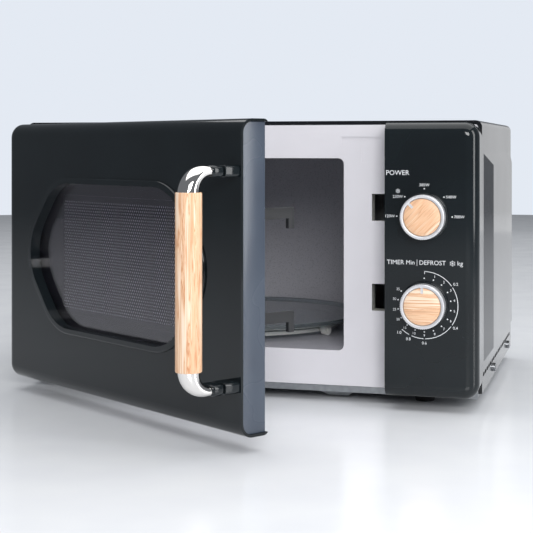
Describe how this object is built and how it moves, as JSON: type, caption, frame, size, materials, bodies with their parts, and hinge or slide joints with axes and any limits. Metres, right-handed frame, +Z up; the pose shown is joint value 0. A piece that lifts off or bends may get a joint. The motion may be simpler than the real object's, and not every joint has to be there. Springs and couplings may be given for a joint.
{
  "type": "microwave oven",
  "caption": "Countertop microwave oven, black, with a side-swing door, bow handle with a wooden grip, two rotary knobs and a glass turntable; door stored part open.",
  "frame": {"origin": "on the table, under the middle of the casing", "axes": "+X to the right seen from the front, +Y to the back, +Z up"},
  "size_m": [0.451, 0.5593, 0.2555],
  "materials": {
    "black_enamel": "gloss",
    "black_gloss": "gloss",
    "white_enamel": "satin",
    "grey_enamel": "satin",
    "zinc_steel": "satin",
    "dark_steel": "satin",
    "core_steel": "matt",
    "spring_steel": "satin",
    "shaft_steel": "satin",
    "copper_wire": "satin",
    "magnetron_metal": "satin",
    "silver_ring": "satin",
    "chrome": "polished",
    "beech": "satin",
    "smoked_glass": "gloss",
    "clear_film": "gloss",
    "tray_glass": "gloss",
    "smoked_plastic": "gloss",
    "white_plastic": "matt",
    "black_plastic": "matt",
    "motor_steel": "satin",
    "mica": "satin",
    "board": "matt",
    "rubber": "matt"
  },
  "bodies": {
    "oven": {"base_plate": "zinc_steel", "rubber_feet": "rubber", "front_plate": "white_enamel", "cavity_liner": "grey_enamel", "waveguide_cover": "mica", "casing_wrap": "black_enamel", "rear_panel": "zinc_steel", "casing_screws": "spring_steel", "cord_gland": "black_plastic", "control_panel": "black_gloss", "timer_unit": "black_plastic", "power_selector": "black_plastic", "hinge_brackets": "zinc_steel", "latch_bracket": "white_plastic", "interlock_switches": "black_plastic", "turntable_motor": "motor_steel", "waveguide": "zinc_steel", "magnetron_bracket": "zinc_steel", "magnetron_tube": "magnetron_metal", "thermal_cutout": "black_plastic", "transformer_core": "core_steel", "transformer_winding": "copper_wire", "capacitor": "zinc_steel", "capacitor_clamp": "zinc_steel", "high_voltage_diode": "black_plastic", "filter_board": "board", "fan_shroud": "white_plastic", "fan_motor": "motor_steel", "cavity_lamp": "tray_glass", "lamp_holder": "black_plastic"},
    "door": {"door_shell": "black_gloss", "window_pane": "smoked_glass", "door_frame": "dark_steel", "perforated_screen": "dark_steel", "inner_film": "clear_film", "choke_cover": "smoked_plastic", "edge_insert": "smoked_plastic", "handle_arms": "black_gloss", "chrome_elbows": "chrome", "wood_grip": "beech", "handle_screws": "spring_steel", "door_hinge_eyes": "zinc_steel", "latch_spring": "spring_steel"},
    "latch": {"latch_hooks": "black_plastic"},
    "power_knob": {"power_knob_skirt": "black_gloss", "power_knob_ring": "silver_ring", "power_knob_inlay": "beech", "power_knob_shaft": "shaft_steel"},
    "timer_knob": {"timer_knob_skirt": "black_gloss", "timer_knob_ring": "silver_ring", "timer_knob_inlay": "beech", "timer_knob_shaft": "shaft_steel"},
    "turntable": {"turntable_coupler": "white_plastic"},
    "tray": {"glass_tray": "tray_glass"},
    "roller_ring": {"roller_ring": "white_plastic"},
    "roller_wheel_1": {"roller_wheel_1": "white_plastic"},
    "roller_wheel_2": {"roller_wheel_2": "white_plastic"},
    "roller_wheel_3": {"roller_wheel_3": "white_plastic"},
    "fan": {"fan_blade": "white_plastic"},
    "plungers": {"switch_plungers": "white_plastic"}
  },
  "joints": [
    {"name": "door_hinge", "type": "hinge", "parent": "oven", "child": "door", "pos_m": [-0.2128, -0.153, 0.1325], "axis": [0, 0, -1], "range_deg": [-34.15, 60.85]},
    {"name": "latch_slide", "type": "slide", "parent": "door", "child": "latch", "axis": [0, 0, 1], "range_m": [0, 0.004], "stiffness_N_per_m": 300, "springref_m": -0.002, "deforming": ["latch_spring"]},
    {"name": "power_dial", "type": "hinge", "parent": "oven", "child": "power_knob", "pos_m": [0.1732, -0.18, 0.171], "axis": [0, 1, 0], "range_deg": [-45, 135]},
    {"name": "timer_dial", "type": "hinge", "parent": "oven", "child": "timer_knob", "pos_m": [0.1732, -0.18, 0.0938], "axis": [0, 1, 0], "range_deg": [0, 300]},
    {"name": "turntable_spin", "type": "hinge", "parent": "oven", "child": "turntable", "pos_m": [-0.0414, -0.008, 0.05], "axis": [0, 0, 1], "continuous": true},
    {"name": "tray_lift", "type": "slide", "parent": "turntable", "child": "tray", "axis": [0, 0, 1], "range_m": [0, 0.03]},
    {"name": "roller_spin", "type": "hinge", "parent": "oven", "child": "roller_ring", "pos_m": [-0.0414, -0.008, 0.051], "axis": [0, 0, 1], "continuous": true},
    {"name": "fan_spin", "type": "hinge", "parent": "oven", "child": "fan", "pos_m": [0.158, 0.13, 0.155], "axis": [0, 1, 0], "continuous": true},
    {"name": "plunger_press", "type": "slide", "parent": "oven", "child": "plungers", "axis": [1, 0, 0], "range_m": [0, 0.0015], "stiffness_N_per_m": 200, "springref_m": -0.001},
    {"name": "wheel_1_spin", "type": "hinge", "parent": "roller_ring", "child": "roller_wheel_1", "pos_m": [0.05688, -0.05279, 0.05105], "axis": [0.91, -0.4147, 0], "continuous": true},
    {"name": "wheel_2_spin", "type": "hinge", "parent": "roller_ring", "child": "roller_wheel_2", "pos_m": [-0.05175, 0.0995, 0.05105], "axis": [-0.0958, 0.9954, 0], "continuous": true},
    {"name": "wheel_3_spin", "type": "hinge", "parent": "roller_ring", "child": "roller_wheel_3", "pos_m": [-0.12932, -0.07072, 0.05105], "axis": [-0.8141, -0.5807, 0], "continuous": true}
  ],
  "couplings": [
    {"joint": "roller_spin", "follows": "turntable_spin", "ratio": 0.5},
    {"joint": "wheel_1_spin", "follows": "turntable_spin", "ratio": -11.25},
    {"joint": "wheel_2_spin", "follows": "turntable_spin", "ratio": -11.25},
    {"joint": "wheel_3_spin", "follows": "turntable_spin", "ratio": -11.25}
  ]
}
